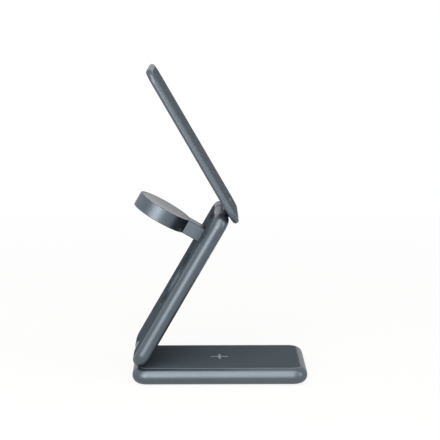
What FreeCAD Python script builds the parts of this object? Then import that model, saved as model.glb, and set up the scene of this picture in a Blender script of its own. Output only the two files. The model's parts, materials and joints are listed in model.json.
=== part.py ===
import FreeCAD, Part
import math
import os
import re
import Sketcher
from FreeCAD import Placement, Rotation, Vector

# Folding wireless charger, standing open.
# X runs along the base towards the side that the phone faces, Y across the width, Z up.
# The origin is under the middle of the base, on the surface that the foot pad stands on.
# Every body is drawn lying flat in a frame of its own, at the axis it turns about, and placed from there.

doc = FreeCAD.newDocument("WirelessCharger")
sheet = doc.addObject("Spreadsheet::Sheet", "Sizes")

sizes = {
    # base slab
    "base_length": 106.0,
    "base_width": 66.0,
    "base_thickness": 9.9,
    "base_edge_radius": 4.9,
    "corner_radius": 9.0,
    "floor_thickness": 1.6,
    "rim_width": 4.2,
    "ledge_width": 1.8,
    "cut_overrun": 1.8,
    "panel_thickness": 1.2,
    "panel_seam": 0.15,
    "panel_chamfer": 0.3,
    # foot pad under the base
    "foot_pad_inset": 8.0,
    "foot_pad_corner": 6.0,
    "foot_pad_thickness": 0.8,
    "foot_pad_proud": 0.4,
    "foot_pad_chamfer": 0.2,
    # plus sign sunk in the base panel
    "plus_span": 10.8,
    "plus_stroke": 1.4,
    "plus_depth": 0.12,
    # coil under the base panel
    "base_coil_outer": 20.0,
    "base_coil_inner": 8.0,
    "base_coil_thickness": 1.2,
    "base_shield_radius": 21.0,
    "base_shield_thickness": 0.8,
    "coil_tray_web": 1.0,
    "coil_tray_wall": 1.5,
    # circuit board in the base, between the coil tray and the end wall
    "board_tray_gap": 4.5,
    "board_width": 40.0,
    "board_thickness": 1.0,
    "board_corner": 2.5,
    "board_gap": 0.5,
    "board_hole_inset": 3.0,
    "board_inlet_setback": 9.0,
    "boss_radius": 2.0,
    "board_screw_radius": 0.8,
    "board_screw_head": 1.6,
    "board_screw_head_height": 0.9,
    "board_screw_bite": 0.7,
    # parts soldered on the board
    "controller_chip": 7.0,
    "controller_chip_height": 1.1,
    "choke_radius": 3.6,
    "choke_height": 3.0,
    "part_spacing": 10.5,
    # power inlet in the far side of the base
    "inlet_length": 10.0,
    "inlet_recess": 0.5,
    "inlet_outer_width": 8.94,
    "inlet_outer_height": 3.16,
    "inlet_wall": 0.3,
    "inlet_side_flat": 0.06,
    "inlet_clearance": 0.1,
    "tongue_width": 6.7,
    "tongue_thickness": 0.7,
    "tongue_end_gap": 1.0,
    "inlet_back_depth": 3.0,
    # hinge between base and arm, and the like one between arm and phone plate
    "hinge_inset": 4.9,
    "hinge_gap": 0.25,
    "hinge_notch": 18.0,
    "notch_clearance": 0.5,
    "knuckle_radius": 4.2,
    "neck_width": 5.6,
    "neck_clearance": 0.2,
    "neck_fillet": 1.2,
    "hinge_pin_radius": 2.0,
    "pin_grip": 12.0,
    "pin_clearance": 0.03,
    "pin_chamfer": 0.4,
    "washer_radius": 3.8,
    "washer_thickness": 0.6,
    "washer_play": 0.05,
    "lower_foot_length": 14.0,
    "lower_foot_thickness": 2.4,
    "foot_screw_radius": 0.9,
    "foot_screw_head": 1.9,
    "foot_screw_head_height": 0.6,
    "foot_screw_spread": 10.0,
    # arm
    "arm_angle": 60.0,
    "arm_length": 106.8,
    "arm_thickness": 9.0,
    "arm_edge_radius": 4.4,
    "arm_floor": 1.6,
    "mouth_chamfer": 0.4,
    "channel_lower_gap": 14.0,
    "channel_upper_gap": 7.8,
    "channel_inner_wall": 2.9,
    "channel_outer_wall": 1.3,
    "channel_corner_radius": 2.0,
    "lower_bay_wall": 4.4,
    "lower_bay_width": 32.0,
    "ribbon_margin": 0.8,
    "ribbon_thickness": 0.4,
    # watch puck and its hinge, which sits a set way below the arm's upper axis
    "puck_hinge_setback": 16.45,
    "puck_reach": 31.5,
    "puck_radius": 17.6,
    "puck_thickness": 8.7,
    "puck_edge_radius": 0.4,
    "tab_width": 14.0,
    "puck_gap": 0.5,
    "puck_pin_radius": 1.5,
    "puck_pin_grip": 6.0,
    "puck_washer_radius": 3.4,
    "puck_washer_thickness": 0.4,
    "puck_rim": 1.3,
    "puck_face_thickness": 1.0,
    "puck_face_seam": 0.1,
    "puck_face_chamfer": 0.2,
    "puck_ledge": 0.9,
    "puck_coil_outer": 13.5,
    "puck_coil_inner": 6.0,
    "puck_coil_thickness": 1.6,
    "puck_shield_thickness": 0.8,
    "puck_board_thickness": 0.8,
    "puck_magnet_radius": 4.5,
    "puck_part_gap": 0.4,
    # phone plate
    "plate_angle": 120.0,
    "plate_length": 105.3,
    "plate_thickness": 3.8,
    "plate_edge_radius": 1.8,
    "plate_standoff": 5.6,
    "plate_chin": 6.0,
    "plate_rim": 2.2,
    "plate_ledge": 1.5,
    "plate_panel_thickness": 0.8,
    "plate_back_wall": 0.8,
    "plate_chamfer": 0.2,
    "upper_foot_length": 12.0,
    "upper_foot_thickness": 1.2,
    "rivet_radius": 0.8,
    "rivet_head": 1.5,
    "rivet_head_height": 0.5,
    "rivet_run": 8.0,
    "rivet_spread": 10.0,
    # coil and magnets in the phone plate
    "plate_shield_gap": 0.8,
    "plate_shield_thickness": 0.6,
    "ring_setback": 1.0,
    "ring_width": 4.5,
    "ring_magnets": 18.0,
    "ring_gap_angle": 1.5,
    "plate_coil_gap": 2.0,
    "plate_coil_width": 10.0,
    # charge light in the phone plate
    "light_run": 8.8,
    "light_width": 8.0,
    "light_height": 1.6,
    "light_corner": 0.7,
    "light_depth": 1.6,
}

for row, (alias, number) in enumerate(sizes.items(), start=1):
    sheet.set(f"A{row}", alias)
    sheet.set(f"B{row}", str(number))
    sheet.setAlias(f"B{row}", alias)
doc.recompute()

# Sizes that follow from the others, as expressions
hinge_x = "(hinge_inset - base_length/2)"
hinge_rise = "(hinge_gap + arm_thickness/2)"
hinge_z = f"(foot_pad_proud + base_thickness + {hinge_rise})"
arm_run = "(arm_length - arm_thickness)"
knuckle_width = "(hinge_notch - 2*(washer_thickness + 2*washer_play))"
panel_corner = "(corner_radius - rim_width)"
slot_half = "(tab_width/2 + puck_gap)"
puck_run = "(arm_length - arm_thickness - puck_hinge_setback)"
keyhole_radius = "(puck_radius + puck_gap)"
keyhole_centre = f"({puck_run} - puck_reach)"
keyhole_end = f"({puck_run} + puck_thickness/2 + puck_gap)"
notch_depth = "(knuckle_radius + notch_clearance)"
channel_inner = f"({keyhole_radius} + channel_inner_wall)"
channel_outer = "(base_width/2 - rim_width - channel_outer_wall)"
channel_end = f"({arm_run} - channel_upper_gap)"
board_end = "(base_length/2 - rim_width - ledge_width - board_gap)"
board_length = f"({board_end} - base_shield_radius - board_tray_gap)"
inlet_x = f"({board_end} - {board_length}/2)"
inlet_height = "(base_thickness/2)"
board_bottom = f"({inlet_height} - inlet_outer_height/2 - board_thickness)"
board_far = "(base_width/2 - rim_width - ledge_width - board_gap)"
plate_turn = "(180 - plate_angle)"
puck_turn = "(90 - arm_angle)"
plate_middle = "(plate_chin - plate_length/2)"
plate_floor = "(plate_standoff + plate_back_wall)"
plate_top = "(plate_standoff + plate_thickness)"
plate_stack = f"({plate_top} - plate_panel_thickness - {plate_floor} - plate_shield_thickness)"
plate_shield_radius = "(base_width/2 - plate_rim - plate_ledge - plate_shield_gap)"
ring_outer = f"({plate_shield_radius} - ring_setback)"
ring_inner = f"({ring_outer} - ring_width)"
plate_coil_outer = f"({ring_inner} - plate_coil_gap)"
puck_face_radius = "(puck_radius - puck_rim)"
puck_bay_radius = f"({puck_face_radius} - puck_ledge)"
puck_stack = "(puck_coil_thickness + puck_shield_thickness + puck_board_thickness)"
puck_bay_floor = f"(puck_thickness/2 - puck_face_thickness - {puck_stack})"


def bound(text):
    """Writes each size in an expression as a reference to its cell."""
    return re.sub(r"[a-z_]+", lambda word: "Sizes." + word[0] if word[0] in sizes else word[0], text)


def value(text):
    return float(sheet.evalExpression(bound(text)))


full_turn = 360
quarter_turn = full_turn / 4

# Frames: place in X and Z, turn, and the axis it is turned about
upper_x = f"({hinge_x} + {arm_run}*cos(arm_angle))"
upper_z = f"({hinge_z} + {arm_run}*sin(arm_angle))"
base_frame = ("0", "foot_pad_proud", None, None)
lower_axis_frame = (hinge_x, hinge_z, None, None)
arm_frame = (hinge_x, hinge_z, "arm_angle", Vector(0, -1, 0))
plate_frame = (upper_x, upper_z, plate_turn, Vector(0, 1, 0))
ring_frame = (
    f"{upper_x} + {plate_middle}*cos({plate_turn})",
    f"{upper_z} - {plate_middle}*sin({plate_turn})",
    plate_turn,
    Vector(0, 1, 0),
)
puck_frame = (
    f"{hinge_x} + {puck_run}*cos(arm_angle)",
    f"{hinge_z} + {puck_run}*sin(arm_angle)",
    puck_turn,
    Vector(0, 1, 0),
)


def new_body(name, frame):
    """Starts a sub-part in the frame of the axis that it turns about."""
    place_x, place_z, turn, axis = frame
    body = doc.addObject("PartDesign::Body", name)
    body.Label = name
    body.AllowCompound = True
    if turn is not None:
        body.Placement = Placement(Vector(), Rotation(axis, value(turn)))
        body.setExpression("Placement.Rotation.Angle", bound(turn))
    body.setExpression("Placement.Base.x", bound(place_x))
    body.setExpression("Placement.Base.z", bound(place_z))
    return body


def sketch_on(body, plane, offset="0"):
    """Starts a sketch on one of the body's own planes, moved along the plane's normal."""
    sketch = body.newObject("Sketcher::SketchObject", body.Name + "_sketch")
    support = [feature for feature in body.Origin.OriginFeatures if feature.Role == plane][0]
    sketch.AttachmentSupport = [(support, "")]
    sketch.MapMode = "FlatFace"
    sketch.setExpression("AttachmentOffset.Base.z", bound(offset))
    return sketch


def flat_sketch(body, height="0"):
    return sketch_on(body, "XY_Plane", height)


def side_sketch(body, away="0"):
    """A sketch seen from the side. The plane's normal is -Y, so the distance in +Y is negated."""
    return sketch_on(body, "XZ_Plane", f"-({away})")


def dimension(sketch, kind, ends, text):
    index = sketch.addConstraint(Sketcher.Constraint(kind, *ends, value(text)))
    name = f"size{index}"
    sketch.renameConstraint(index, name)
    sketch.setExpression("Constraints." + name, bound(text))


def place_x(sketch, element, point, text):
    dimension(sketch, "DistanceX", (-1, 1, element, point), text)


def place_y(sketch, element, point, text):
    dimension(sketch, "DistanceY", (-1, 1, element, point), text)


def line(sketch, start, end):
    return sketch.addGeometry(Part.LineSegment(Vector(*start, 0), Vector(*end, 0)), False)


def arc(sketch, centre, radius, first, last):
    """An arc from one angle to another, in degrees."""
    round_edge = Part.Circle(Vector(*centre, 0), Vector(0, 0, 1), radius)
    stretch = Part.ArcOfCircle(round_edge, math.radians(first), math.radians(last))
    return sketch.addGeometry(stretch, False)


def rectangle(sketch, left, right, low, high):
    x0, x1, y0, y1 = (value(text) for text in (left, right, low, high))
    corners = [(x0, y0), (x1, y0), (x1, y1), (x0, y1)]
    sides = [line(sketch, corners[i], corners[(i + 1) % 4]) for i in range(4)]
    for i in range(4):
        sketch.addConstraint(Sketcher.Constraint("Coincident", sides[i], 2, sides[(i + 1) % 4], 1))
    for i in (0, 2):
        sketch.addConstraint(Sketcher.Constraint("Horizontal", sides[i]))
        sketch.addConstraint(Sketcher.Constraint("Vertical", sides[i + 1]))
    place_y(sketch, sides[0], 1, low)
    place_x(sketch, sides[1], 1, right)
    place_y(sketch, sides[2], 1, high)
    place_x(sketch, sides[3], 1, left)


def rounded_rectangle(sketch, left, right, low, high, radius):
    x0, x1, y0, y1, r = (value(text) for text in (left, right, low, high, radius))
    ends = [
        ((x0 + r, y0), (x1 - r, y0)),
        ((x1, y0 + r), (x1, y1 - r)),
        ((x1 - r, y1), (x0 + r, y1)),
        ((x0, y1 - r), (x0, y0 + r)),
    ]
    centres = [(x1 - r, y0 + r), (x1 - r, y1 - r), (x0 + r, y1 - r), (x0 + r, y0 + r)]
    sides = [line(sketch, start, end) for start, end in ends]
    starts = (-quarter_turn, 0, quarter_turn, 2 * quarter_turn)
    corners = [
        arc(sketch, centre, r, start, start + quarter_turn) for centre, start in zip(centres, starts)
    ]
    for i in range(4):
        sketch.addConstraint(Sketcher.Constraint("Tangent", sides[i], 2, corners[i], 1))
        sketch.addConstraint(Sketcher.Constraint("Tangent", corners[i], 2, sides[(i + 1) % 4], 1))
    for i in (0, 2):
        sketch.addConstraint(Sketcher.Constraint("Horizontal", sides[i]))
        sketch.addConstraint(Sketcher.Constraint("Vertical", sides[i + 1]))
    for i in (1, 2, 3):
        sketch.addConstraint(Sketcher.Constraint("Equal", corners[0], corners[i]))
    dimension(sketch, "Radius", (corners[0],), radius)
    place_y(sketch, sides[0], 1, low)
    place_x(sketch, sides[1], 1, right)
    place_y(sketch, sides[2], 1, high)
    place_x(sketch, sides[3], 1, left)


def circle(sketch, centre_x, centre_y, radius):
    centre = Vector(value(centre_x), value(centre_y), 0)
    element = sketch.addGeometry(Part.Circle(centre, Vector(0, 0, 1), value(radius)), False)
    if centre_x == "0":
        sketch.addConstraint(Sketcher.Constraint("PointOnObject", element, 3, -2))
    else:
        place_x(sketch, element, 3, centre_x)
    if centre_y == "0":
        sketch.addConstraint(Sketcher.Constraint("PointOnObject", element, 3, -1))
    else:
        place_y(sketch, element, 3, centre_y)
    dimension(sketch, "Radius", (element,), radius)


def keyhole(sketch, centre_x, radius, half_width, end_x):
    """A disc's outline that runs out on one side into a straight tab or slot."""
    x, r, half, end = (value(text) for text in (centre_x, radius, half_width, end_x))
    mouth = math.degrees(math.asin(half / r))
    neck = x + r * math.cos(math.radians(mouth))
    disc = arc(sketch, (x, 0), r, mouth, full_turn - mouth)
    low = line(sketch, (neck, -half), (end, -half))
    tip = line(sketch, (end, -half), (end, half))
    high = line(sketch, (end, half), (neck, half))
    loop = [disc, low, tip, high]
    for i in range(4):
        sketch.addConstraint(Sketcher.Constraint("Coincident", loop[i], 2, loop[(i + 1) % 4], 1))
    sketch.addConstraint(Sketcher.Constraint("Horizontal", low))
    sketch.addConstraint(Sketcher.Constraint("Horizontal", high))
    sketch.addConstraint(Sketcher.Constraint("Vertical", tip))
    sketch.addConstraint(Sketcher.Constraint("PointOnObject", disc, 3, -1))
    place_x(sketch, disc, 3, centre_x)
    dimension(sketch, "Radius", (disc,), radius)
    place_y(sketch, tip, 1, f"-({half_width})")
    place_y(sketch, tip, 2, half_width)
    if end_x == "0":
        sketch.addConstraint(Sketcher.Constraint("PointOnObject", tip, 1, -2))
    else:
        place_x(sketch, tip, 1, end_x)


def pad(body, sketch, length, symmetric=False, reverse=False):
    feature = body.newObject("PartDesign::Pad", body.Name + "_pad")
    feature.Profile = sketch
    feature.SideType = "Symmetric" if symmetric else "One side"
    feature.Reversed = reverse
    feature.setExpression("Length", bound(length))
    body.Tip = feature
    doc.recompute()
    return feature


def pocket(body, sketch, length, symmetric=False, reverse=False):
    """Cuts a sketch out of the body, and makes sure that it did cut."""
    before = body.Shape.Volume
    feature = body.newObject("PartDesign::Pocket", body.Name + "_pocket")
    feature.Profile = sketch
    feature.SideType = "Symmetric" if symmetric else "One side"
    feature.Reversed = reverse
    feature.setExpression("Length", bound(length))
    body.Tip = feature
    doc.recompute()
    if not body.Shape.Volume < before:
        raise RuntimeError(f"{feature.Name} cuts nothing")
    return feature


def edges_in_plane(shape, height):
    """Names of the edges that lie flat at one height."""
    def lies_flat(edge):
        box = edge.BoundBox
        return abs(box.ZMin - height) < 1e-4 and abs(box.ZMax - height) < 1e-4
    return [f"Edge{i}" for i, edge in enumerate(shape.Edges, start=1) if lies_flat(edge)]


def upright_edges(shape):
    def is_upright(edge):
        box = edge.BoundBox
        return box.XLength < 1e-4 and box.YLength < 1e-4
    return [f"Edge{i}" for i, edge in enumerate(shape.Edges, start=1) if is_upright(edge)]


def dress(body, kind, base, names, size_name, text):
    """Adds a fillet or a chamfer along the named edges of a feature."""
    feature = body.newObject("PartDesign::" + kind, body.Name + "_" + kind.lower())
    feature.Base = (base, names)
    feature.setExpression(size_name, bound(text))
    body.Tip = feature
    doc.recompute()
    return feature


def fillet(body, base, names, radius):
    return dress(body, "Fillet", base, names, "Radius", radius)


def chamfer(body, base, names, size):
    return dress(body, "Chamfer", base, names, "Size", size)


def pillow_slab(body, left, right, thickness, bottom, edge_radius):
    """A slab with rounded corners, whose long edges are rounded to near half its thickness."""
    outline = flat_sketch(body, bottom)
    rectangle(outline, left, right, "-base_width/2", "base_width/2")
    block = pad(body, outline, thickness)
    rounded = fillet(body, block, upright_edges(block.Shape), "corner_radius")
    low = value(bottom)
    high = value(f"{bottom} + {thickness}")
    rims = edges_in_plane(rounded.Shape, low) + edges_in_plane(rounded.Shape, high)
    return fillet(body, rounded, rims, edge_radius)


def inset_outline(sketch, left, right, inset, corner):
    rounded_rectangle(
        sketch,
        f"{left} + {inset}",
        f"{right} - ({inset})",
        f"{inset} - base_width/2",
        f"base_width/2 - ({inset})",
        corner,
    )


def ring(sketch, outer, inner, centre_x="0"):
    circle(sketch, centre_x, "0", outer)
    circle(sketch, centre_x, "0", inner)


def mirror_across(body, feature):
    """Repeats a feature on the other side of the middle plane of the width."""
    mirrored = body.newObject("PartDesign::Mirrored", body.Name + "_mirrored")
    mirrored.Originals = [feature]
    plane = [item for item in body.Origin.OriginFeatures if item.Role == "XZ_Plane"][0]
    mirrored.MirrorPlane = (plane, [""])
    body.Tip = mirrored
    doc.recompute()
    return mirrored


# Base

def board_hole_places():
    """Middles of the four screws of the circuit board."""
    near_x = f"{inlet_x} - {board_length}/2 + board_hole_inset"
    far_x = f"{inlet_x} + {board_length}/2 - board_hole_inset"
    near_y = f"{board_far} - board_width + board_hole_inset"
    far_y = f"{board_far} - board_inlet_setback"
    return [(x, y) for x in (near_x, far_x) for y in (near_y, far_y)]


def foot_screw_places():
    x = f"{hinge_x} + lower_foot_length - foot_screw_head"
    return [(x, "foot_screw_spread/2"), (x, "-foot_screw_spread/2")]


def make_base_housing():
    body = new_body("base_housing", base_frame)
    pillow_slab(body, "-base_length/2", "base_length/2", "base_thickness", "0", "base_edge_radius")
    recess = flat_sketch(body, "base_thickness")
    inset_outline(recess, "-base_length/2", "base_length/2", "rim_width", panel_corner)
    pocket(body, recess, "panel_thickness")
    cavity = flat_sketch(body, "base_thickness")
    inset_outline(cavity, "-base_length/2", "base_length/2", "rim_width + ledge_width",
                  f"{panel_corner} - ledge_width")
    pocket(body, cavity, "base_thickness - floor_thickness")
    neck_slot = flat_sketch(body, "base_thickness")
    rectangle(
        neck_slot,
        f"{hinge_x} - neck_width/2 - neck_clearance",
        "rim_width + ledge_width + cut_overrun - base_length/2",
        f"-{knuckle_width}/2 - neck_clearance",
        f"{knuckle_width}/2 + neck_clearance",
    )
    pocket(body, neck_slot, "base_thickness - floor_thickness")
    pad_recess = flat_sketch(body)
    inset_outline(pad_recess, "-base_length/2", "base_length/2", "foot_pad_inset", "foot_pad_corner")
    pocket(body, pad_recess, "foot_pad_thickness - foot_pad_proud", reverse=True)
    inlet_tunnel = side_sketch(body, "base_width/2")
    inlet_outline(inlet_tunnel, "inlet_clearance")
    pocket(body, inlet_tunnel, "rim_width + ledge_width + cut_overrun", reverse=True)
    bosses = flat_sketch(body, "floor_thickness")
    for x, y in board_hole_places():
        circle(bosses, x, y, "boss_radius")
    pad(body, bosses, f"{board_bottom} - floor_thickness")
    boss_holes = flat_sketch(body, board_bottom)
    for x, y in board_hole_places():
        circle(boss_holes, x, y, "board_screw_radius")
    pocket(body, boss_holes, "board_screw_bite")
    screw_holes = flat_sketch(body)
    head_seats = flat_sketch(body)
    for x, y in foot_screw_places():
        circle(screw_holes, x, y, "foot_screw_radius")
        circle(head_seats, x, y, "foot_screw_head")
    pocket(body, screw_holes, "2*floor_thickness", reverse=True)
    pocket(body, head_seats, "foot_pad_thickness - foot_pad_proud + foot_screw_head_height", reverse=True)
    return body


def inlet_outline(sketch, growth):
    """The round-ended outline of the power inlet, grown by a clearance or shrunk by a wall."""
    half_width = f"(inlet_outer_width/2 + ({growth}))"
    half_height = f"(inlet_outer_height/2 + ({growth}))"
    rounded_rectangle(
        sketch,
        f"{inlet_x} - {half_width}",
        f"{inlet_x} + {half_width}",
        f"{inlet_height} - {half_height}",
        f"{inlet_height} + {half_height}",
        f"{half_height} - inlet_side_flat",
    )


def make_base_top_panel():
    body = new_body("base_top_panel", base_frame)
    outline = flat_sketch(body, "base_thickness - panel_thickness")
    inset_outline(outline, "-base_length/2", "base_length/2", "rim_width + panel_seam",
                  f"{panel_corner} - panel_seam")
    pad(body, outline, "panel_thickness")
    notch = flat_sketch(body, "base_thickness")
    rectangle(
        notch,
        "-base_length/2",
        f"{hinge_x} + neck_width/2 + neck_clearance",
        f"-{knuckle_width}/2 - neck_clearance",
        f"{knuckle_width}/2 + neck_clearance",
    )
    notched = pocket(body, notch, "panel_thickness")
    top = value("base_thickness")
    chamfer(body, notched, edges_in_plane(notched.Shape, top), "panel_chamfer")
    for span_x, span_y in (("plus_span", "plus_stroke"), ("plus_stroke", "plus_span")):
        bar = flat_sketch(body, "base_thickness")
        rectangle(bar, f"-{span_x}/2", f"{span_x}/2", f"-{span_y}/2", f"{span_y}/2")
        pocket(body, bar, "plus_depth")
    return body


def make_foot_pad():
    body = new_body("foot_pad", base_frame)
    outline = flat_sketch(body, "-foot_pad_proud")
    inset_outline(outline, "-base_length/2", "base_length/2", "foot_pad_inset", "foot_pad_corner")
    block = pad(body, outline, "foot_pad_thickness")
    bottom = value("-foot_pad_proud")
    chamfer(body, block, edges_in_plane(block.Shape, bottom), "foot_pad_chamfer")
    return body


def make_base_coil_parts():
    coil_bottom = "(base_thickness - panel_thickness - base_coil_thickness)"
    shield_bottom = f"({coil_bottom} - base_shield_thickness)"
    coil = new_body("base_coil", base_frame)
    winding = flat_sketch(coil, coil_bottom)
    ring(winding, "base_coil_outer", "base_coil_inner")
    pad(coil, winding, "base_coil_thickness")
    shield = new_body("base_coil_shield", base_frame)
    disc = flat_sketch(shield, shield_bottom)
    circle(disc, "0", "0", "base_shield_radius")
    pad(shield, disc, "base_shield_thickness")
    tray = new_body("base_coil_tray", base_frame)
    outer = flat_sketch(tray, "floor_thickness")
    circle(outer, "0", "0", "base_shield_radius")
    pad(tray, outer, f"{shield_bottom} - floor_thickness")
    hollow = flat_sketch(tray, "floor_thickness")
    circle(hollow, "0", "0", "base_shield_radius - coil_tray_wall")
    pocket(tray, hollow, f"{shield_bottom} - floor_thickness - coil_tray_web", reverse=True)


def make_charger_board():
    body = new_body("charger_board", base_frame)
    outline = flat_sketch(body, board_bottom)
    rounded_rectangle(
        outline,
        f"{inlet_x} - {board_length}/2",
        board_end,
        f"{board_far} - board_width",
        board_far,
        "board_corner",
    )
    pad(body, outline, "board_thickness")
    holes = flat_sketch(body, f"{board_bottom} + board_thickness")
    for x, y in board_hole_places():
        circle(holes, x, y, "board_screw_radius")
    pocket(body, holes, "board_thickness")
    return body


def make_board_screws():
    body = new_body("board_screws", base_frame)
    head_bottom = f"({board_bottom} + board_thickness)"
    shanks = flat_sketch(body, head_bottom)
    heads = flat_sketch(body, head_bottom)
    for x, y in board_hole_places():
        circle(shanks, x, y, "board_screw_radius")
        circle(heads, x, y, "board_screw_head")
    pad(body, shanks, "board_thickness + board_screw_bite", reverse=True)
    pad(body, heads, "board_screw_head_height")
    return body


def make_board_parts():
    body = new_body("board_components", base_frame)
    board_top = f"({board_bottom} + board_thickness)"
    middle_y = f"({board_far} - board_width/2)"
    chip = flat_sketch(body, board_top)
    rectangle(
        chip,
        f"{inlet_x} - controller_chip/2",
        f"{inlet_x} + controller_chip/2",
        f"{middle_y} - controller_chip/2",
        f"{middle_y} + controller_chip/2",
    )
    pad(body, chip, "controller_chip_height")
    choke = flat_sketch(body, board_top)
    circle(choke, inlet_x, f"{middle_y} - part_spacing", "choke_radius")
    pad(body, choke, "choke_height")
    return body


def make_inlet_parts():
    mouth = "(base_width/2 - inlet_recess)"
    shell = new_body("inlet_shell", base_frame)
    tube = side_sketch(shell, mouth)
    inlet_outline(tube, "0")
    inlet_outline(tube, "-inlet_wall")
    pad(shell, tube, "inlet_length")
    tongue = new_body("inlet_tongue", base_frame)
    back = side_sketch(tongue, f"{mouth} - inlet_length")
    inlet_outline(back, "-inlet_wall")
    pad(tongue, back, "inlet_back_depth", reverse=True)
    blade = side_sketch(tongue, f"{mouth} - inlet_length + inlet_back_depth")
    rectangle(
        blade,
        f"{inlet_x} - tongue_width/2",
        f"{inlet_x} + tongue_width/2",
        f"{inlet_height} - tongue_thickness/2",
        f"{inlet_height} + tongue_thickness/2",
    )
    pad(tongue, blade, "inlet_length - inlet_back_depth - tongue_end_gap", reverse=True)


# Hinges

def make_lower_hinge_knuckle():
    """The barrel that the arm turns on, its neck, and the foot screwed to the base's floor."""
    body = new_body("lower_hinge_knuckle", lower_axis_frame)
    foot_bottom = f"(-{hinge_rise} - base_thickness + floor_thickness)"
    barrel = side_sketch(body)
    circle(barrel, "0", "0", "knuckle_radius")
    pad(body, barrel, knuckle_width, symmetric=True)
    neck = side_sketch(body)
    rectangle(neck, "-neck_width/2", "neck_width/2", foot_bottom, "-knuckle_radius/2")
    pad(body, neck, knuckle_width, symmetric=True)
    foot = flat_sketch(body, foot_bottom)
    rectangle(foot, "-neck_width/2", "lower_foot_length", f"-{knuckle_width}/2", f"{knuckle_width}/2")
    footed = pad(body, foot, "lower_foot_thickness")
    foot_top = value(f"{foot_bottom} + lower_foot_thickness")
    root = [
        name for name in edges_in_plane(footed.Shape, foot_top)
        if abs(footed.Shape.getElement(name).BoundBox.XMax - value("neck_width/2")) < 1e-4
    ]
    fillet(body, footed, root, "neck_fillet")
    bore = side_sketch(body)
    circle(bore, "0", "0", "hinge_pin_radius + pin_clearance")
    pocket(body, bore, "hinge_notch", symmetric=True)
    holes = flat_sketch(body, foot_bottom)
    for x, y in foot_screw_places():
        circle(holes, f"{x} - {hinge_x}", y, "foot_screw_radius")
    pocket(body, holes, "lower_foot_thickness", reverse=True)
    return body


def make_lower_hinge_screws():
    body = new_body("lower_hinge_screws", base_frame)
    seat = "(foot_pad_thickness - foot_pad_proud)"
    heads = flat_sketch(body, seat)
    shanks = flat_sketch(body, seat)
    for x, y in foot_screw_places():
        circle(heads, x, y, "foot_screw_head")
        circle(shanks, x, y, "foot_screw_radius")
    pad(body, heads, "foot_screw_head_height")
    pad(body, shanks, f"floor_thickness + lower_foot_thickness - {seat}")
    return body


def make_pin(name, run, radius, length):
    body = new_body(name, arm_frame)
    section = side_sketch(body)
    circle(section, run, "0", radius)
    rod = pad(body, section, length, symmetric=True)
    ends = [f"Edge{i}" for i, edge in enumerate(rod.Shape.Edges, start=1) if edge.isClosed()]
    chamfer(body, rod, ends, "pin_chamfer")
    return body


def make_washers(name, run, radius, pin_radius, half_gap, thickness):
    """A pair of friction washers, one each side of a knuckle."""
    body = new_body(name, arm_frame)
    face = side_sketch(body, f"{half_gap} - washer_play")
    ring(face, radius, f"{pin_radius} + washer_play", run)
    washer = pad(body, face, thickness)
    mirror_across(body, washer)
    return body


# Arm

def cut_keyhole(body):
    opening = flat_sketch(body)
    keyhole(opening, keyhole_centre, keyhole_radius, slot_half, keyhole_end)
    pocket(body, opening, "2*arm_thickness", symmetric=True)


def soften_mouth(body):
    """Chamfers the keyhole's edge in the arm's underside, where the puck's disc shows when it is folded."""
    cut = body.Tip
    reach = value(keyhole_radius)
    mouth = [
        name for name in edges_in_plane(cut.Shape, value("-arm_thickness/2"))
        if cut.Shape.getElement(name).BoundBox.YMax < reach + 1e-4
        and cut.Shape.getElement(name).BoundBox.YMin > -reach - 1e-4
        and cut.Shape.getElement(name).BoundBox.XMin > value(f"{keyhole_centre} - {keyhole_radius}") - 1e-4
        and cut.Shape.getElement(name).BoundBox.XMax < value(keyhole_end) + 1e-4
    ]
    chamfer(body, cut, mouth, "mouth_chamfer")


def cut_end_notches(body, growth):
    """Notches in both ends, where the hinge knuckles turn."""
    half = f"(hinge_notch/2 + {growth})"
    lower = flat_sketch(body)
    rectangle(lower, "-arm_thickness", f"{notch_depth} + {growth}", f"-{half}", half)
    pocket(body, lower, "2*arm_thickness", symmetric=True)
    upper = flat_sketch(body)
    rectangle(
        upper,
        f"{arm_run} - {notch_depth} - {growth}",
        f"{arm_run} + arm_thickness",
        f"-{half}",
        half,
    )
    pocket(body, upper, "2*arm_thickness", symmetric=True)


def bore_across(body, run, radius, length):
    bore = side_sketch(body)
    circle(bore, run, "0", radius)
    pocket(body, bore, length, symmetric=True)


def make_arm_housing():
    body = new_body("arm_housing", arm_frame)
    left = "-arm_thickness/2"
    right = f"{arm_run} + arm_thickness/2"
    pillow_slab(body, left, right, "arm_thickness", "-arm_thickness/2", "arm_edge_radius")
    recess = flat_sketch(body, "arm_thickness/2")
    inset_outline(recess, left, right, "rim_width", panel_corner)
    pocket(body, recess, "panel_thickness")
    cavities = flat_sketch(body, "arm_thickness/2")
    for low, high in ((channel_inner, channel_outer), (f"-{channel_outer}", f"-{channel_inner}")):
        rounded_rectangle(cavities, "channel_lower_gap", channel_end, low, high, "channel_corner_radius")
    rounded_rectangle(
        cavities,
        f"{notch_depth} + lower_bay_wall",
        f"{keyhole_centre} - {keyhole_radius} - lower_bay_wall",
        "-lower_bay_width/2",
        "lower_bay_width/2",
        "channel_corner_radius",
    )
    pocket(body, cavities, "arm_thickness - arm_floor")
    cut_keyhole(body)
    soften_mouth(body)
    cut_end_notches(body, "0")
    bore_across(body, "0", "hinge_pin_radius", "hinge_notch + 2*pin_grip")
    bore_across(body, arm_run, "hinge_pin_radius", "hinge_notch + 2*pin_grip")
    bore_across(body, puck_run, "puck_pin_radius", f"2*({slot_half} + puck_pin_grip)")
    return body


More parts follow.
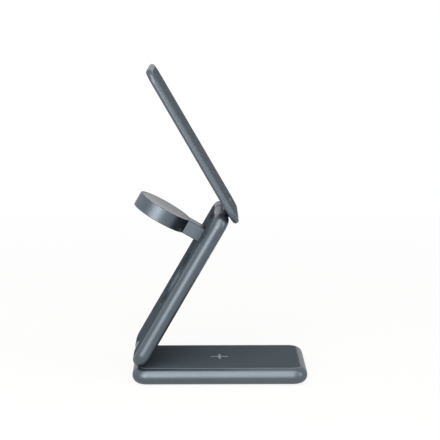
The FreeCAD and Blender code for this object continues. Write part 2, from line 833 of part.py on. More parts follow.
def make_arm_cover():
    body = new_body("arm_cover", arm_frame)
    outline = flat_sketch(body, "arm_thickness/2 - panel_thickness")
    inset_outline(outline, "-arm_thickness/2", f"{arm_run} + arm_thickness/2", "rim_width + panel_seam",
                  f"{panel_corner} - panel_seam")
    pad(body, outline, "panel_thickness")
    cut_end_notches(body, "panel_seam")
    cut_keyhole(body)
    top = value("arm_thickness/2")
    cut = body.Tip
    chamfer(body, cut, edges_in_plane(cut.Shape, top), "panel_chamfer")
    return body


def make_arm_harness():
    body = new_body("arm_harness", arm_frame)
    outline = flat_sketch(body, "arm_floor - arm_thickness/2")
    rectangle(
        outline,
        "channel_lower_gap + ribbon_margin",
        f"{channel_end} - ribbon_margin",
        f"{channel_inner} + ribbon_margin",
        f"{channel_outer} - ribbon_margin",
    )
    pad(body, outline, "ribbon_thickness")
    return body


# Phone plate

def make_plate_housing():
    body = new_body("plate_housing", plate_frame)
    left = "plate_chin - plate_length"
    right = "plate_chin"
    pillow_slab(body, left, right, "plate_thickness", "plate_standoff", "plate_edge_radius")
    recess = flat_sketch(body, plate_top)
    inset_outline(recess, left, right, "plate_rim", "corner_radius - plate_rim")
    pocket(body, recess, "plate_panel_thickness")
    cavity = flat_sketch(body, plate_top)
    inset_outline(cavity, left, right, "plate_rim + plate_ledge", "corner_radius - plate_rim - plate_ledge")
    pocket(body, cavity, "plate_thickness - plate_back_wall")
    neck_slot = flat_sketch(body, "plate_standoff")
    rectangle(
        neck_slot,
        "-neck_width/2 - neck_clearance",
        "neck_width/2 + neck_clearance",
        f"-{knuckle_width}/2 - neck_clearance",
        f"{knuckle_width}/2 + neck_clearance",
    )
    pocket(body, neck_slot, "plate_back_wall + upper_foot_thickness", reverse=True)
    holes = flat_sketch(body, "plate_standoff")
    for y in ("rivet_spread/2", "-rivet_spread/2"):
        circle(holes, "-rivet_run", y, "rivet_radius")
    pocket(body, holes, "plate_back_wall", reverse=True)
    return body


def light_outline(sketch):
    rounded_rectangle(
        sketch,
        "plate_chin - plate_rim - light_run - light_height/2",
        "plate_chin - plate_rim - light_run + light_height/2",
        "-light_width/2",
        "light_width/2",
        "light_corner",
    )


def make_plate_face_panel():
    body = new_body("plate_face_panel", plate_frame)
    outline = flat_sketch(body, f"{plate_top} - plate_panel_thickness")
    inset_outline(outline, "plate_chin - plate_length", "plate_chin", "plate_rim + panel_seam",
                  "corner_radius - plate_rim - panel_seam")
    slab = pad(body, outline, "plate_panel_thickness")
    chamfer(body, slab, edges_in_plane(slab.Shape, value(plate_top)), "plate_chamfer")
    window = flat_sketch(body, plate_top)
    light_outline(window)
    pocket(body, window, "plate_panel_thickness")
    return body


def make_charge_light():
    body = new_body("charge_light", plate_frame)
    lens = flat_sketch(body, plate_top)
    light_outline(lens)
    pad(body, lens, "light_depth", reverse=True)
    return body


def make_upper_hinge_knuckle():
    """The barrel that the phone plate hangs from, its neck, and the foot riveted inside the plate."""
    body = new_body("upper_hinge_knuckle", plate_frame)
    barrel = side_sketch(body)
    circle(barrel, "0", "0", "knuckle_radius")
    pad(body, barrel, knuckle_width, symmetric=True)
    neck = side_sketch(body)
    rectangle(neck, "-neck_width/2", "neck_width/2", "knuckle_radius/2",
              f"{plate_floor} + upper_foot_thickness")
    pad(body, neck, knuckle_width, symmetric=True)
    foot = flat_sketch(body, plate_floor)
    rectangle(foot, "-upper_foot_length", "neck_width/2", f"-{knuckle_width}/2", f"{knuckle_width}/2")
    pad(body, foot, "upper_foot_thickness")
    bore = side_sketch(body)
    circle(bore, "0", "0", "hinge_pin_radius + pin_clearance")
    pocket(body, bore, "hinge_notch", symmetric=True)
    holes = flat_sketch(body, plate_floor)
    for y in ("rivet_spread/2", "-rivet_spread/2"):
        circle(holes, "-rivet_run", y, "rivet_radius")
    pocket(body, holes, "upper_foot_thickness", reverse=True)
    return body


def make_upper_hinge_rivets():
    body = new_body("upper_hinge_rivets", plate_frame)
    foot_top = f"({plate_floor} + upper_foot_thickness)"
    shanks = flat_sketch(body, "plate_standoff")
    heads = flat_sketch(body, foot_top)
    for y in ("rivet_spread/2", "-rivet_spread/2"):
        circle(shanks, "-rivet_run", y, "rivet_radius")
        circle(heads, "-rivet_run", y, "rivet_head")
    pad(body, shanks, "plate_back_wall + upper_foot_thickness")
    pad(body, heads, "rivet_head_height")
    return body


def make_plate_coil_parts():
    stack_bottom = f"({plate_floor} + plate_shield_thickness)"
    shield = new_body("plate_coil_shield", ring_frame)
    disc = flat_sketch(shield, plate_floor)
    circle(disc, "0", "0", plate_shield_radius)
    pad(shield, disc, "plate_shield_thickness")
    coil = new_body("plate_coil", ring_frame)
    winding = flat_sketch(coil, stack_bottom)
    ring(winding, plate_coil_outer, f"{plate_coil_outer} - plate_coil_width")
    pad(coil, winding, plate_stack)


def make_magnet_ring():
    """One curved magnet, repeated round the coil."""
    body = new_body("magnet_ring", ring_frame)
    sector = flat_sketch(body, f"{plate_floor} + plate_shield_thickness")
    inner, outer = value(ring_inner), value(ring_outer)
    half = value("180/ring_magnets - ring_gap_angle")
    inside = arc(sector, (0, 0), inner, -half, half)
    outside = arc(sector, (0, 0), outer, -half, half)
    def on_ray(radius, angle):
        return radius * math.cos(math.radians(angle)), radius * math.sin(math.radians(angle))
    low = line(sector, on_ray(inner, -half), on_ray(outer, -half))
    high = line(sector, on_ray(inner, half), on_ray(outer, half))
    for curve in (inside, outside):
        sector.addConstraint(Sketcher.Constraint("Coincident", curve, 3, -1, 1))
    for curve, end in ((inside, 1), (outside, 2)):
        sector.addConstraint(Sketcher.Constraint("Coincident", curve, 1, low, end))
        sector.addConstraint(Sketcher.Constraint("Coincident", curve, 2, high, end))
    sector.addConstraint(Sketcher.Constraint("PointOnObject", -1, 1, low))
    sector.addConstraint(Sketcher.Constraint("PointOnObject", -1, 1, high))
    dimension(sector, "Radius", (inside,), ring_inner)
    dimension(sector, "Radius", (outside,), ring_outer)
    half_chord = f"{ring_outer}*sin(180/ring_magnets - ring_gap_angle)"
    place_y(sector, outside, 1, f"-{half_chord}")
    place_y(sector, outside, 2, half_chord)
    magnet = pad(body, sector, plate_stack)
    pattern = body.newObject("PartDesign::PolarPattern", "magnet_ring_pattern")
    pattern.Originals = [magnet]
    pattern.Axis = (sector, ["N_Axis"])
    pattern.Angle = full_turn
    pattern.setExpression("Occurrences", bound("ring_magnets"))
    body.Tip = pattern
    doc.recompute()
    return body


# Watch puck

def make_puck_housing():
    """Disc, tab and hinge barrel in one piece, hollowed for the coil from the watch's side."""
    body = new_body("puck_housing", puck_frame)
    outline = flat_sketch(body)
    keyhole(outline, "-puck_reach", "puck_radius", "tab_width/2", "0")
    block = pad(body, outline, "puck_thickness", symmetric=True)
    half = value("puck_thickness/2")
    rims = [
        name for height in (-half, half) for name in edges_in_plane(block.Shape, height)
        if block.Shape.getElement(name).BoundBox.XMin < -1e-4
    ]
    fillet(body, block, rims, "puck_edge_radius")
    barrel = side_sketch(body)
    circle(barrel, "0", "0", "puck_thickness/2")
    pad(body, barrel, "tab_width", symmetric=True)
    face_seat = flat_sketch(body, "puck_thickness/2")
    circle(face_seat, "-puck_reach", "0", puck_face_radius)
    pocket(body, face_seat, "puck_face_thickness")
    bay = flat_sketch(body, "puck_thickness/2")
    circle(bay, "-puck_reach", "0", puck_bay_radius)
    pocket(body, bay, f"puck_thickness/2 - {puck_bay_floor}")
    bore = side_sketch(body)
    circle(bore, "0", "0", "puck_pin_radius + pin_clearance")
    pocket(body, bore, "2*tab_width", symmetric=True)
    return body


def make_puck_face():
    body = new_body("puck_face", puck_frame)
    disc = flat_sketch(body, "puck_thickness/2")
    circle(disc, "-puck_reach", "0", f"{puck_face_radius} - puck_face_seam")
    block = pad(body, disc, "puck_face_thickness", reverse=True)
    chamfer(body, block, edges_in_plane(block.Shape, value("puck_thickness/2")), "puck_face_chamfer")
    return body


def make_puck_inside():
    """Board, shield, coil and magnet, stacked from the floor of the puck up to its face."""
    shield_bottom = f"({puck_bay_floor} + puck_board_thickness)"
    coil_bottom = f"({shield_bottom} + puck_shield_thickness)"
    inside_radius = f"({puck_bay_radius} - puck_part_gap)"
    discs = (
        ("puck_board", puck_bay_floor, inside_radius, "puck_board_thickness"),
        ("puck_coil_shield", shield_bottom, inside_radius, "puck_shield_thickness"),
        ("puck_magnet", coil_bottom, "puck_magnet_radius", "puck_coil_thickness"),
    )
    for name, bottom, radius, thickness in discs:
        body = new_body(name, puck_frame)
        outline = flat_sketch(body, bottom)
        circle(outline, "-puck_reach", "0", radius)
        pad(body, outline, thickness)
    coil = new_body("puck_coil", puck_frame)
    winding = flat_sketch(coil, coil_bottom)
    ring(winding, "puck_coil_outer", "puck_coil_inner", "-puck_reach")
    pad(coil, winding, "puck_coil_thickness")


make_base_housing()
make_base_top_panel()
make_foot_pad()
make_base_coil_parts()
make_charger_board()
make_board_screws()
make_board_parts()
make_inlet_parts()
make_lower_hinge_knuckle()
make_lower_hinge_screws()
make_arm_housing()
make_arm_cover()
make_arm_harness()
hinge_pin_length = "hinge_notch + 2*pin_grip"
make_pin("lower_hinge_pin", "0", "hinge_pin_radius", hinge_pin_length)
make_pin("upper_hinge_pin", arm_run, "hinge_pin_radius", hinge_pin_length)
make_pin("puck_hinge_pin", puck_run, "puck_pin_radius", f"2*({slot_half} + puck_pin_grip)")
for hinge_name, hinge_run in (("lower_hinge_washers", "0"), ("upper_hinge_washers", arm_run)):
    make_washers(hinge_name, hinge_run, "washer_radius", "hinge_pin_radius", "hinge_notch/2",
                 "washer_thickness")
make_washers("puck_hinge_washers", puck_run, "puck_washer_radius", "puck_pin_radius", slot_half,
             "puck_washer_thickness")
make_plate_housing()
make_plate_face_panel()
make_charge_light()
make_upper_hinge_knuckle()
make_upper_hinge_rivets()
make_plate_coil_parts()
make_magnet_ring()
make_puck_housing()
make_puck_face()
make_puck_inside()
doc.recompute()

for item in doc.Objects:
    if "Invalid" in item.State or "Error" in item.State:
        raise RuntimeError(f"{item.Label} did not build: {item.State}")

bodies = [item for item in doc.Objects if item.TypeId == "PartDesign::Body"]
for body in bodies:
    if body.Shape.isNull() or not body.Shape.isValid():
        raise RuntimeError(f"{body.Label} has no valid shape")

os.makedirs("parts", exist_ok=True)
for body in bodies:
    body.Shape.exportStep(f"parts/{body.Label}.step")
print(f"{len(bodies)} parts written")
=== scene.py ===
import bpy
import json
from math import cos, pi, radians, sin
from mathutils import Matrix, Vector


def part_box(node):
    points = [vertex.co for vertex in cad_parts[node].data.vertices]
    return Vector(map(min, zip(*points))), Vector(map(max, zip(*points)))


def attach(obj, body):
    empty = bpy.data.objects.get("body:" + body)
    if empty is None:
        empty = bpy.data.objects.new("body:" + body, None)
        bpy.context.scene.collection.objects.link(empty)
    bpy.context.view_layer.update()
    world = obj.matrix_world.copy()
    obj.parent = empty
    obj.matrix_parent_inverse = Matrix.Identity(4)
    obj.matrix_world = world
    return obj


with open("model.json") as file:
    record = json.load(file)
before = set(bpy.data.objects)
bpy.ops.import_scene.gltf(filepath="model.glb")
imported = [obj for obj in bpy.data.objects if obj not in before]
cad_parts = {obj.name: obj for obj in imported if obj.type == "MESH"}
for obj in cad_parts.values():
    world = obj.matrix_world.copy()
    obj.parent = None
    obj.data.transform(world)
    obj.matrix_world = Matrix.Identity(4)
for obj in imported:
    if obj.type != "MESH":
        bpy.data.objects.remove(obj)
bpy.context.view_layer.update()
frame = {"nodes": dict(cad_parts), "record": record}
nodes = frame["nodes"]
mm = 0.001

# Everything is in metres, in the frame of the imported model: X along the base, Y across it, Z up.


def deselectAll():
    if bpy.context.mode != "OBJECT":
        bpy.ops.object.mode_set(mode="OBJECT")
    bpy.ops.object.select_all(action="DESELECT")


# Shader helpers

class Wire:
    # One output socket. Sums, differences and products on it add Math nodes.
    def __init__(self, graph, socket):
        self.graph = graph
        self.socket = socket

    def combine(self, operation, first, second):
        return self.graph.add("ShaderNodeMath", {"operation": operation}, {0: first, 1: second})

    def __add__(self, other):
        return self.combine("ADD", self, other)

    def __radd__(self, other):
        return self.combine("ADD", other, self)

    def __sub__(self, other):
        return self.combine("SUBTRACT", self, other)

    def __rsub__(self, other):
        return self.combine("SUBTRACT", other, self)

    def __mul__(self, other):
        return self.combine("MULTIPLY", self, other)

    def __rmul__(self, other):
        return self.combine("MULTIPLY", other, self)


class Graph:
    # The nodes of one material, or of the world
    def __init__(self, tree):
        self.tree = tree
        self.tree.nodes.clear()

    def add(self, kind, settings, values, result=0):
        node = self.tree.nodes.new(kind)
        for key, setting in settings.items():
            setattr(node, key, setting)
        for key, given in values.items():
            if isinstance(given, Wire):
                self.tree.links.new(given.socket, node.inputs[key])
            else:
                node.inputs[key].default_value = given
        return Wire(self, node.outputs[result])

    def place(self):
        return self.add("ShaderNodeTexCoord", {}, {}, "Object")

    def noise(self, size, detail=2.0, roughness=0.5):
        # size is the width of one grain in metres
        values = {"Vector": self.place(), "Scale": 1 / size, "Detail": detail, "Roughness": roughness}
        return self.add("ShaderNodeTexNoise", {}, values)

    def blend(self, amount, first, second):
        # A Mix node in colour mode: inputs 6 and 7 are its two colours, output 2 its result
        return self.add("ShaderNodeMix", {"data_type": "RGBA"}, {0: amount, 6: first, 7: second}, 2)

    def spread(self, source, low, high, start=0.3, end=0.7):
        # Maps the range start to end of a value onto low to high
        values = {"Value": source, "From Min": start, "From Max": end, "To Min": low, "To Max": high}
        return self.add("ShaderNodeMapRange", {"clamp": True}, values)

    def vary(self, grain, middle, swing):
        # A value that swings about its middle with the grain
        return self.spread(grain, middle - swing, middle + swing)

    def vector(self, operation, first, second, result="Vector"):
        return self.add("ShaderNodeVectorMath", {"operation": operation}, {0: first, 1: second}, result)

    def along(self, direction):
        # How far a point lies along a direction
        return self.vector("DOT_PRODUCT", self.place(), direction, "Value")

    def ridges(self, run, pitch):
        # 0 in the valleys and 1 on the crests of ridges one pitch apart
        wave = self.add("ShaderNodeMath", {"operation": "PINGPONG"}, {0: run, 1: pitch / 2})
        return self.spread(wave, 0.0, 1.0, 0.0, pitch / 2)

    def bump(self, height, strength, distance):
        return self.add("ShaderNodeBump", {}, {"Height": height, "Strength": strength, "Distance": distance})

    def seen(self):
        # 1 for what the camera or a mirror sees, 0 for what only lights other things
        rays = ("Camera", "Glossy", "Transmission")
        direct = [self.add("ShaderNodeLightPath", {}, {}, f"Is {ray} Ray") for ray in rays]
        return direct[0] + direct[1] + direct[2]

    def close(self, kind, shader):
        output = self.tree.nodes.new(kind)
        self.tree.links.new(shader.socket, output.inputs["Surface"])

    def principled(self, values):
        self.close("ShaderNodeOutputMaterial", self.add("ShaderNodeBsdfPrincipled", {}, values))


def startMaterial(name):
    material = bpy.data.materials.new(name)
    material.use_nodes = True
    return material, Graph(material.node_tree)


def tone(red, green, blue):
    # A colour as it is read off a screen, 0 to 255, made linear for a shader
    def linear(step):
        share = step / 255
        return share / 12.92 if share <= 0.04045 else ((share + 0.055) / 1.055) ** 2.4
    return (linear(red), linear(green), linear(blue), 1.0)


def shade(colour, factor):
    return tuple(min(1.0, part * factor) for part in colour[:3]) + (1.0,)


def facingAt(degrees):
    # The direction of a face that leans by an angle from the level, plus being towards +X
    return (sin(radians(degrees)), 0, cos(radians(degrees)))


# Materials

dyeing = {
    "driftDetail": 3.0,
    "grainDetail": 2.0,
    "grainRoughness": 0.6,
    "fleckFrom": 0.4,
    "fleckTo": 0.75,
    "fleckGain": 1.8,
}


def dyed(graph, look):
    # The base colour with a slow drift and a fine sparkle
    drift = graph.noise(look["driftSize"], dyeing["driftDetail"])
    grain = graph.noise(look["grainSize"], dyeing["grainDetail"], dyeing["grainRoughness"])
    dye = graph.blend(
        graph.spread(drift, 0.0, 1.0),
        shade(look["colour"], 1 - look["drift"]),
        shade(look["colour"], 1 + look["drift"]),
    )
    fleck = graph.spread(grain, 0.0, look["sparkle"], dyeing["fleckFrom"], dyeing["fleckTo"])
    return graph.blend(fleck, dye, shade(look["colour"], dyeing["fleckGain"])), grain


blasting = {"swing": 0.03, "depth": 0.02 * mm}


def satinMetal(name, look):
    # Blasted and dyed metal
    material, graph = startMaterial(name)
    colour, grain = dyed(graph, look)
    graph.principled({
        "Base Color": colour,
        "Metallic": look["metallic"],
        "Roughness": graph.vary(grain, look["roughness"], blasting["swing"]),
        "Specular Tint": look["edge"],
        "Normal": graph.bump(grain, look["bump"], blasting["depth"]),
    })
    return material


# A chamfer lies between the flat face, whose normal is along the facing, and the walls, whose normals aren't.
# Each pair is the share of the facing between which the painted highlight on the chamfer fades.
softCoat = {
    "swing": 0.05,
    "depth": 0.03 * mm,
    "wallFrom": 0.3,
    "wallTo": 0.5,
    "flatFrom": 0.8,
    "flatTo": 0.95,
    "fade": 1 * mm,
}


def softPanel(name, look):
    # Soft-touch coat: matte, with a painted highlight along the chamfers of a panel that has a facing, not on
    # its walls
    material, graph = startMaterial(name)
    colour, grain = dyed(graph, look)
    if look["facing"]:
        normal = graph.add("ShaderNodeTexCoord", {}, {}, "Normal")
        level = graph.vector("DOT_PRODUCT", normal, look["facing"], "Value")
        notFlat = graph.spread(level, 1.0, 0.0, softCoat["flatFrom"], softCoat["flatTo"])
        notWall = graph.spread(level, 0.0, 1.0, softCoat["wallFrom"], softCoat["wallTo"])
        # Painted highlight: chamfers further from the middle across Y than the highlight start get the colour
        # lightened by the highlight gain
        aside = graph.add("ShaderNodeMath", {"operation": "ABSOLUTE"}, {0: graph.along((0, 1, 0))})
        outer = graph.spread(aside, 0.0, 1.0, look["chamferHighlightFrom"] - softCoat["fade"], look["chamferHighlightFrom"])
        colour = graph.blend(notFlat * notWall * outer, colour, shade(look["colour"], look["chamferHighlightGain"]))
    graph.principled({
        "Base Color": colour,
        "Roughness": graph.vary(grain, look["roughness"], softCoat["swing"]),
        "Specular IOR Level": look["specular"],
        "Normal": graph.bump(grain, look["bump"], softCoat["depth"]),
    })
    return material


winding = {"swing": 0.05, "relief": 0.8}


def woundWire(name, look):
    # Turns of enamelled wire round an axis, as rings one pitch apart, darkened between turns as painted shade
    material, graph = startMaterial(name)
    colour, grain = dyed(graph, look)
    out = graph.vector("SUBTRACT", graph.place(), look["centre"])
    radius = graph.vector("LENGTH", graph.vector("CROSS_PRODUCT", out, look["axis"]), (0, 0, 0), "Value")
    crest = graph.ridges(radius, look["pitch"])
    graph.principled({
        "Base Color": graph.blend(crest, shade(look["colour"], look["grooveShade"]), colour),
        "Metallic": look["metallic"],
        "Roughness": graph.vary(grain, look["roughness"], winding["swing"]),
        "Normal": graph.bump(crest, winding["relief"], look["pitch"] / 2),
    })
    return material


def flatCable(name, look):
    # Flat cable: parallel wires that run along the arm, side by side across it, darkened between wires as
    # painted shade
    material, graph = startMaterial(name)
    colour, grain = dyed(graph, look)
    crest = graph.ridges(graph.along((0, 1, 0)), look["pitch"])
    graph.principled({
        "Base Color": graph.blend(crest, shade(look["colour"], look["grooveShade"]), colour),
        "Roughness": graph.vary(grain, look["roughness"], winding["swing"]),
        "Normal": graph.bump(crest, winding["relief"], look["pitch"] / 2),
    })
    return material


solderMask = {
    "swing": 0.05,
    "coat": 0.4,
    "relief": 0.5,
    "depth": 0.05 * mm,
    "trackFrom": 0.12,
    "trackTo": 0.18,
    "trackShare": 0.7,
    "patchFrom": 0.48,
    "patchTo": 0.52,
}


def circuitBoard(name, look):
    # Solder mask over copper tracks. A coarse noise lays them one way in some patches and across in the rest.
    material, graph = startMaterial(name)
    colour, grain = dyed(graph, look)
    narrow = look["pitch"] * solderMask["trackFrom"]
    broad = look["pitch"] * solderMask["trackTo"]
    tracks = []
    for direction in ((1, 0, 0), (0, 1, 0)):
        run = graph.along(direction)
        wave = graph.add("ShaderNodeMath", {"operation": "PINGPONG"}, {0: run, 1: look["pitch"] / 2})
        tracks.append(graph.spread(wave, 1.0, 0.0, narrow, broad))
    patchNoise = graph.noise(look["patchSize"], 0.0)
    patch = graph.spread(patchNoise, 0.0, 1.0, solderMask["patchFrom"], solderMask["patchTo"])
    track = tracks[0] * patch + tracks[1] * (1.0 - patch)
    graph.principled({
        "Base Color": graph.blend(track * solderMask["trackShare"], colour, look["trackColour"]),
        "Roughness": graph.vary(grain, look["roughness"], solderMask["swing"]),
        "Coat Weight": solderMask["coat"],
        "Normal": graph.bump(track, solderMask["relief"], solderMask["depth"]),
    })
    return material


housingLook = {
    "colour": tone(88, 96, 104),
    "metallic": 0.9,
    "roughness": 0.36,
    "edge": (0.82, 0.83, 0.85, 1.0),
    "grainSize": 0.16 * mm,
    "driftSize": 14 * mm,
    "drift": 0.04,
    "sparkle": 0.1,
    "bump": 0.35,
}
puckLook = dict(housingLook, colour=tone(92, 100, 109), roughness=0.34, grainSize=0.12 * mm, bump=0.25)
steelLook = dict(
    housingLook,
    colour=tone(170, 171, 174),
    metallic=1.0,
    roughness=0.28,
    edge=(0.8, 0.8, 0.8, 1.0),
)
nickelLook = dict(steelLook, colour=tone(196, 194, 188), roughness=0.2)
goldLook = dict(steelLook, colour=tone(214, 176, 96), roughness=0.25)
# The last share darkens the grooves between turns, as painted shade
copperLook = dict(steelLook, colour=tone(196, 122, 78), roughness=0.35, pitch=0.8 * mm, grooveShade=0.35)

panelLook = {
    "colour": tone(70, 79, 87),
    "facing": None,
    # The gain, and the start across Y, of the painted highlight on the chamfers
    "chamferHighlightGain": 3.2,
    "chamferHighlightFrom": 0.0,
    "roughness": 0.7,
    "specular": 0.02,
    "grainSize": 0.25 * mm,
    "driftSize": 20 * mm,
    "drift": 0.03,
    "sparkle": 0.08,
    "bump": 0.35,
}
basePanelLook = dict(panelLook, facing=facingAt(0))
# Painted shade and light: the arm's cover gets a darker copy of the same panel coat, for the shade under the
# plate, and the plate's face a lighter copy, for the light from the right
shadedCoverLook = dict(panelLook, colour=tone(58, 68, 77), facing=facingAt(-60), chamferHighlightGain=4.2, chamferHighlightFrom=24 * mm)
litPlateFaceLook = dict(panelLook, colour=tone(76, 85, 93), facing=facingAt(60))
puckFaceLook = dict(panelLook, colour=tone(190, 193, 197), facing=facingAt(30), chamferHighlightGain=1.2, roughness=0.6)
rubberLook = dict(
    panelLook,
    colour=tone(38, 40, 43),
    roughness=0.85,
    grainSize=0.5 * mm,
    sparkle=0.1,
    bump=0.4,
)
plasticLook = dict(panelLook, colour=tone(30, 31, 34), roughness=0.55, specular=0.4)
ferriteLook = dict(panelLook, colour=tone(42, 42, 45), roughness=0.6, specular=0.3)
inkLook = dict(panelLook, colour=tone(150, 156, 161), roughness=0.6, sparkle=0.02)
lensLook = dict(panelLook, colour=tone(98, 104, 110), roughness=0.5, specular=0.2, sparkle=0.02)
# The last share darkens the grooves between wires, as painted shade
cableLook = dict(panelLook, colour=tone(186, 118, 76), roughness=0.5, pitch=1.0 * mm, grooveShade=0.4)
boardLook = dict(
    panelLook,
    colour=tone(24, 70, 48),
    trackColour=tone(52, 112, 72),
    roughness=0.4,
    pitch=0.9 * mm,
    patchSize=4 * mm,
)

ringCentre = Vector(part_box("magnet_ring")[0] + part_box("magnet_ring")[1]) / 2
puckCentre = Vector(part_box("puck_coil")[0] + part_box("puck_coil")[1]) / 2
baseCoilLook = dict(copperLook, centre=(0, 0, 0), axis=basePanelLook["facing"])
plateCoilLook = dict(copperLook, centre=ringCentre[:], axis=litPlateFaceLook["facing"])
puckCoilLook = dict(copperLook, centre=puckCentre[:], axis=puckFaceLook["facing"], pitch=0.7 * mm)

slotFinishes = {
    "housing": satinMetal("housing", housingLook),
    "hinge_metal": satinMetal("hinge_metal", housingLook),
    "puck_metal": satinMetal("puck_metal", puckLook),
    "steel": satinMetal("steel", steelLook),
    "magnet": satinMetal("magnet", nickelLook),
    "puck_face": softPanel("puck_face", puckFaceLook),
    "foot_rubber": softPanel("foot_rubber", rubberLook),
    "ferrite": softPanel("ferrite", ferriteLook),
    "inner_plastic": softPanel("inner_plastic", plasticLook),
    "circuit_board": circuitBoard("circuit_board", boardLook),
    "light_lens": softPanel("light_lens", lensLook),
}
nodeFinishes = {
    "base_top_panel": softPanel("panel_base", basePanelLook),
    "arm_cover": softPanel("panel_arm_painted_shade", shadedCoverLook),
    "plate_face_panel": softPanel("panel_plate_painted_light", litPlateFaceLook),
    "base_coil": woundWire("copper_winding_base", baseCoilLook),
    "plate_coil": woundWire("copper_winding_plate", plateCoilLook),
    "puck_coil": woundWire("copper_winding_puck", puckCoilLook),
    "arm_harness": flatCable("copper_winding_harness", cableLook),
}

for part in frame["record"]["subparts"]:
    mesh = nodes[part["node"]].data
    mesh.materials.clear()
    mesh.materials.append(nodeFinishes.get(part["node"]) or slotFinishes[part["material_slot"]])


# Pieces that the solids leave out

def editSelected(choose):
    # Into edit mode with only the faces for which choose(face) holds
    piece = bpy.context.active_object
    bpy.ops.object.mode_set(mode="EDIT")
    bpy.ops.mesh.select_mode(type="FACE")
    bpy.ops.mesh.select_all(action="DESELECT")
    bpy.ops.object.mode_set(mode="OBJECT")
    for face in piece.data.polygons:
        face.select = choose(face)
    bpy.ops.object.mode_set(mode="EDIT")


edgeSteps = 2


def settle(piece, material, body, rounding):
    # Rounds the edges of a piece and leaves it at the origin, unturned and unscaled, on its body
    bpy.ops.object.transform_apply(location=True, rotation=True, scale=True)
    edges = piece.modifiers.new("edges", "BEVEL")
    edges.width = rounding
    edges.segments = edgeSteps
    bpy.ops.object.modifier_apply(modifier="edges")
    piece.data.materials.append(material)
    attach(piece, body)
    deselectAll()


plusInlay = {
    "span": 10.76 * mm,
    "stroke": 1.36 * mm,
    "sunk": 0.12 * mm,
    "proud": 0.02 * mm,
    "rounding": 0.02 * mm,
    "facesAlong": 0.9,
    "midlineSlack": 0.1 * mm,
}
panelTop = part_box("base_top_panel")[1].z
plusMiddle = panelTop + (plusInlay["proud"] - plusInlay["sunk"]) / 2
deselectAll()
bpy.ops.mesh.primitive_cube_add(size=1.0, location=(0, 0, plusMiddle))
inlay = bpy.context.active_object
inlay.name = "plus_inlay"
inlay.scale = (plusInlay["stroke"], plusInlay["stroke"], plusInlay["proud"] + plusInlay["sunk"])
bpy.ops.object.transform_apply(location=False, rotation=False, scale=True)


def endsArm(face, direction):
    # The face that looks along a direction and lies on the plus's middle line
    offLine = abs(face.center.cross(direction).z)
    return face.normal.dot(direction) > plusInlay["facesAlong"] and offLine < plusInlay["midlineSlack"]


plusArm = (plusInlay["span"] - plusInlay["stroke"]) / 2
for direction in (Vector((1, 0, 0)), Vector((-1, 0, 0)), Vector((0, 1, 0)), Vector((0, -1, 0))):
    editSelected(lambda face: endsArm(face, direction))
    bpy.ops.mesh.extrude_region_move(TRANSFORM_OT_translate={"value": direction * plusArm})
    bpy.ops.object.mode_set(mode="OBJECT")
settle(inlay, softPanel("sign_ink", inkLook), "base", plusInlay["rounding"])
print("plus inlay made")

contactRow = {
    "count": 12,
    "pitch": 0.5 * mm,
    "width": 0.26 * mm,
    "length": 4.6 * mm,
    "thick": 0.06 * mm,
    "tongue": 0.7 * mm,
    "setBack": 0.4 * mm,
    "rounding": 0.02 * mm,
}
tongueLow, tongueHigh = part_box("inlet_tongue")
tongueMiddle = (tongueLow + tongueHigh) / 2
deselectAll()
bpy.ops.mesh.primitive_cube_add(
    size=1.0,
    location=(
        tongueMiddle.x - contactRow["pitch"] * (contactRow["count"] - 1) / 2,
        tongueHigh.y - contactRow["length"] / 2 - contactRow["setBack"],
        tongueMiddle.z + (contactRow["tongue"] + contactRow["thick"]) / 2,
    ),
)
contacts = bpy.context.active_object
contacts.name = "inlet_contacts"
contacts.scale = (contactRow["width"], contactRow["length"], contactRow["thick"])
bpy.ops.object.transform_apply(location=True, rotation=True, scale=True)
rowOfContacts = contacts.modifiers.new("row", "ARRAY")
rowOfContacts.use_relative_offset = False
rowOfContacts.use_constant_offset = True
rowOfContacts.constant_offset_displace = (contactRow["pitch"], 0, 0)
rowOfContacts.count = contactRow["count"]
bpy.ops.object.modifier_apply(modifier="row")
bpy.ops.object.mode_set(mode="EDIT")
bpy.ops.mesh.select_all(action="SELECT")
toUnderside = (0, 0, -contactRow["tongue"] - contactRow["thick"])
bpy.ops.mesh.duplicate_move(TRANSFORM_OT_translate={"value": toUnderside})
bpy.ops.object.mode_set(mode="OBJECT")
settle(contacts, satinMetal("contact_gold", goldLook), "base", contactRow["rounding"])
print("inlet contacts made")


# Floor, lamps and camera

white = (1, 1, 1, 1)
floorLook = {
    "size": 60.0,
    "drop": 0.02 * mm,
    "colour": (0.96, 0.96, 0.96, 1.0),
    "glow": 1.0,
    "glowNear": 0.88,
    "glowFar": 1.0,
    "near": 0.15,
    "far": 0.7,
}
# The floor lies a hair under the foot pad, so that the two faces aren't in one plane
deselectAll()
bpy.ops.mesh.primitive_plane_add(size=floorLook["size"], location=(0, 0, -floorLook["drop"]))
floor = bpy.context.active_object
floor.name = "floor"
floorMaterial, floorGraph = startMaterial("pale_floor")
away = floorGraph.vector("LENGTH", floorGraph.place(), (0, 0, 0), "Value")
glowShare = floorGraph.spread(
    away,
    floorLook["glowNear"],
    floorLook["glowFar"],
    floorLook["near"],
    floorLook["far"],
)
litFloor = floorGraph.add("ShaderNodeBsdfDiffuse", {}, {"Color": floorLook["colour"]})
glow = floorGraph.add("ShaderNodeEmission", {}, {"Color": white, "Strength": floorLook["glow"]})
floorMix = {0: floorGraph.seen() * glowShare, 1: litFloor, 2: glow}
floorGraph.close("ShaderNodeOutputMaterial", floorGraph.add("ShaderNodeMixShader", {}, floorMix))
floor.data.materials.append(floorMaterial)

lampTarget = Vector((0, 0, 0.09))


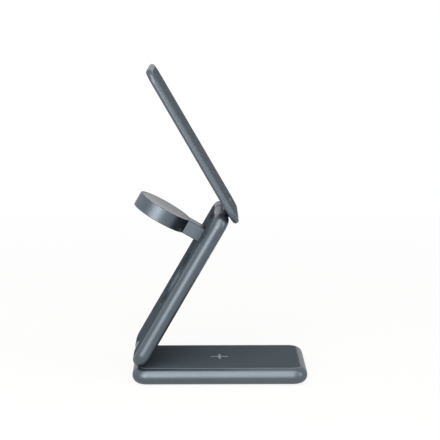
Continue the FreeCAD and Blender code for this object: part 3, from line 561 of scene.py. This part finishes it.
def addLamp(name, look):
    # A soft box at an azimuth from the viewer's side, left being minus, and an elevation
    turn, lift = radians(look["azimuth"]), radians(look["elevation"])
    towards = Vector((sin(turn) * cos(lift), -cos(turn) * cos(lift), sin(lift)))
    bpy.ops.object.light_add(type="AREA", location=lampTarget + towards * look["distance"])
    lamp = bpy.context.active_object
    lamp.name = name
    lamp.rotation_euler = towards.to_track_quat("Z", "Y").to_euler()
    lamp.data.shape = "RECTANGLE"
    lamp.data.size = look["width"]
    lamp.data.size_y = look["height"]
    lamp.data.color = look["colour"]
    lamp.data.energy = look["radiance"] * look["width"] * look["height"] * pi
    lamp.visible_camera = False


keyLamp = {
    "azimuth": -9,
    "elevation": 40,
    "distance": 1.6,
    "width": 1.5,
    "height": 3.1,
    "radiance": 3.0,
    "colour": (1.0, 0.965, 0.91),
}
lowLamp = dict(keyLamp, azimuth=-30, elevation=8, distance=0.75, width=0.55, height=0.38, radiance=2.4)
leftLamp = dict(keyLamp, azimuth=-112, elevation=22, distance=1.5, width=0.7, height=1.2, radiance=0.3)
rightLamp = dict(keyLamp, azimuth=62, elevation=20, distance=1.6, width=0.5, height=1.2, radiance=3.2)
addLamp("key_lamp", keyLamp)
addLamp("low_lamp", lowLamp)
addLamp("left_lamp", leftLamp)
addLamp("right_lamp", rightLamp)

skyLook = {"lit": 0.25, "seen": 1.0}
world = bpy.data.worlds.new("studio")
bpy.context.scene.world = world
world.use_nodes = True
sky = Graph(world.node_tree)
litSky = sky.add("ShaderNodeBackground", {}, {"Color": white, "Strength": skyLook["lit"]})
seenSky = sky.add("ShaderNodeBackground", {}, {"Color": white, "Strength": skyLook["seen"]})
skyMix = {0: sky.seen(), 1: litSky, 2: seenSky}
sky.close("ShaderNodeOutputWorld", sky.add("ShaderNodeMixShader", {}, skyMix))

# Fitted to the photo: yaw and pitch in radians, focal length and picture in pixels, sensor in millimetres
view = {
    "place": Vector((-9.505, -919.558, 247.702)) * mm,
    "yaw": 0.010655,
    "pitch": 0.163372,
    "focal": 1523.9,
    "picture": 440,
    "sensor": 36.0,
    "clipStart": 0.01,
}
forward = Vector((
    sin(view["yaw"]) * cos(view["pitch"]),
    cos(view["yaw"]) * cos(view["pitch"]),
    -sin(view["pitch"]),
))
right = Vector((cos(view["yaw"]), -sin(view["yaw"]), 0))
upward = right.cross(forward)
turned = Matrix((right, upward, -forward)).transposed().to_4x4()
cameraData = bpy.data.cameras.new("camera")
camera = bpy.data.objects.new("camera", cameraData)
bpy.context.scene.collection.objects.link(camera)
camera.matrix_world = Matrix.Translation(view["place"]) @ turned
cameraData.sensor_fit = "HORIZONTAL"
cameraData.sensor_width = view["sensor"]
cameraData.lens = view["focal"] / view["picture"] * view["sensor"]
cameraData.clip_start = view["clipStart"]
bpy.context.scene.camera = camera
bpy.context.scene.view_settings.view_transform = "Standard"
print("floor, lamps and camera set")
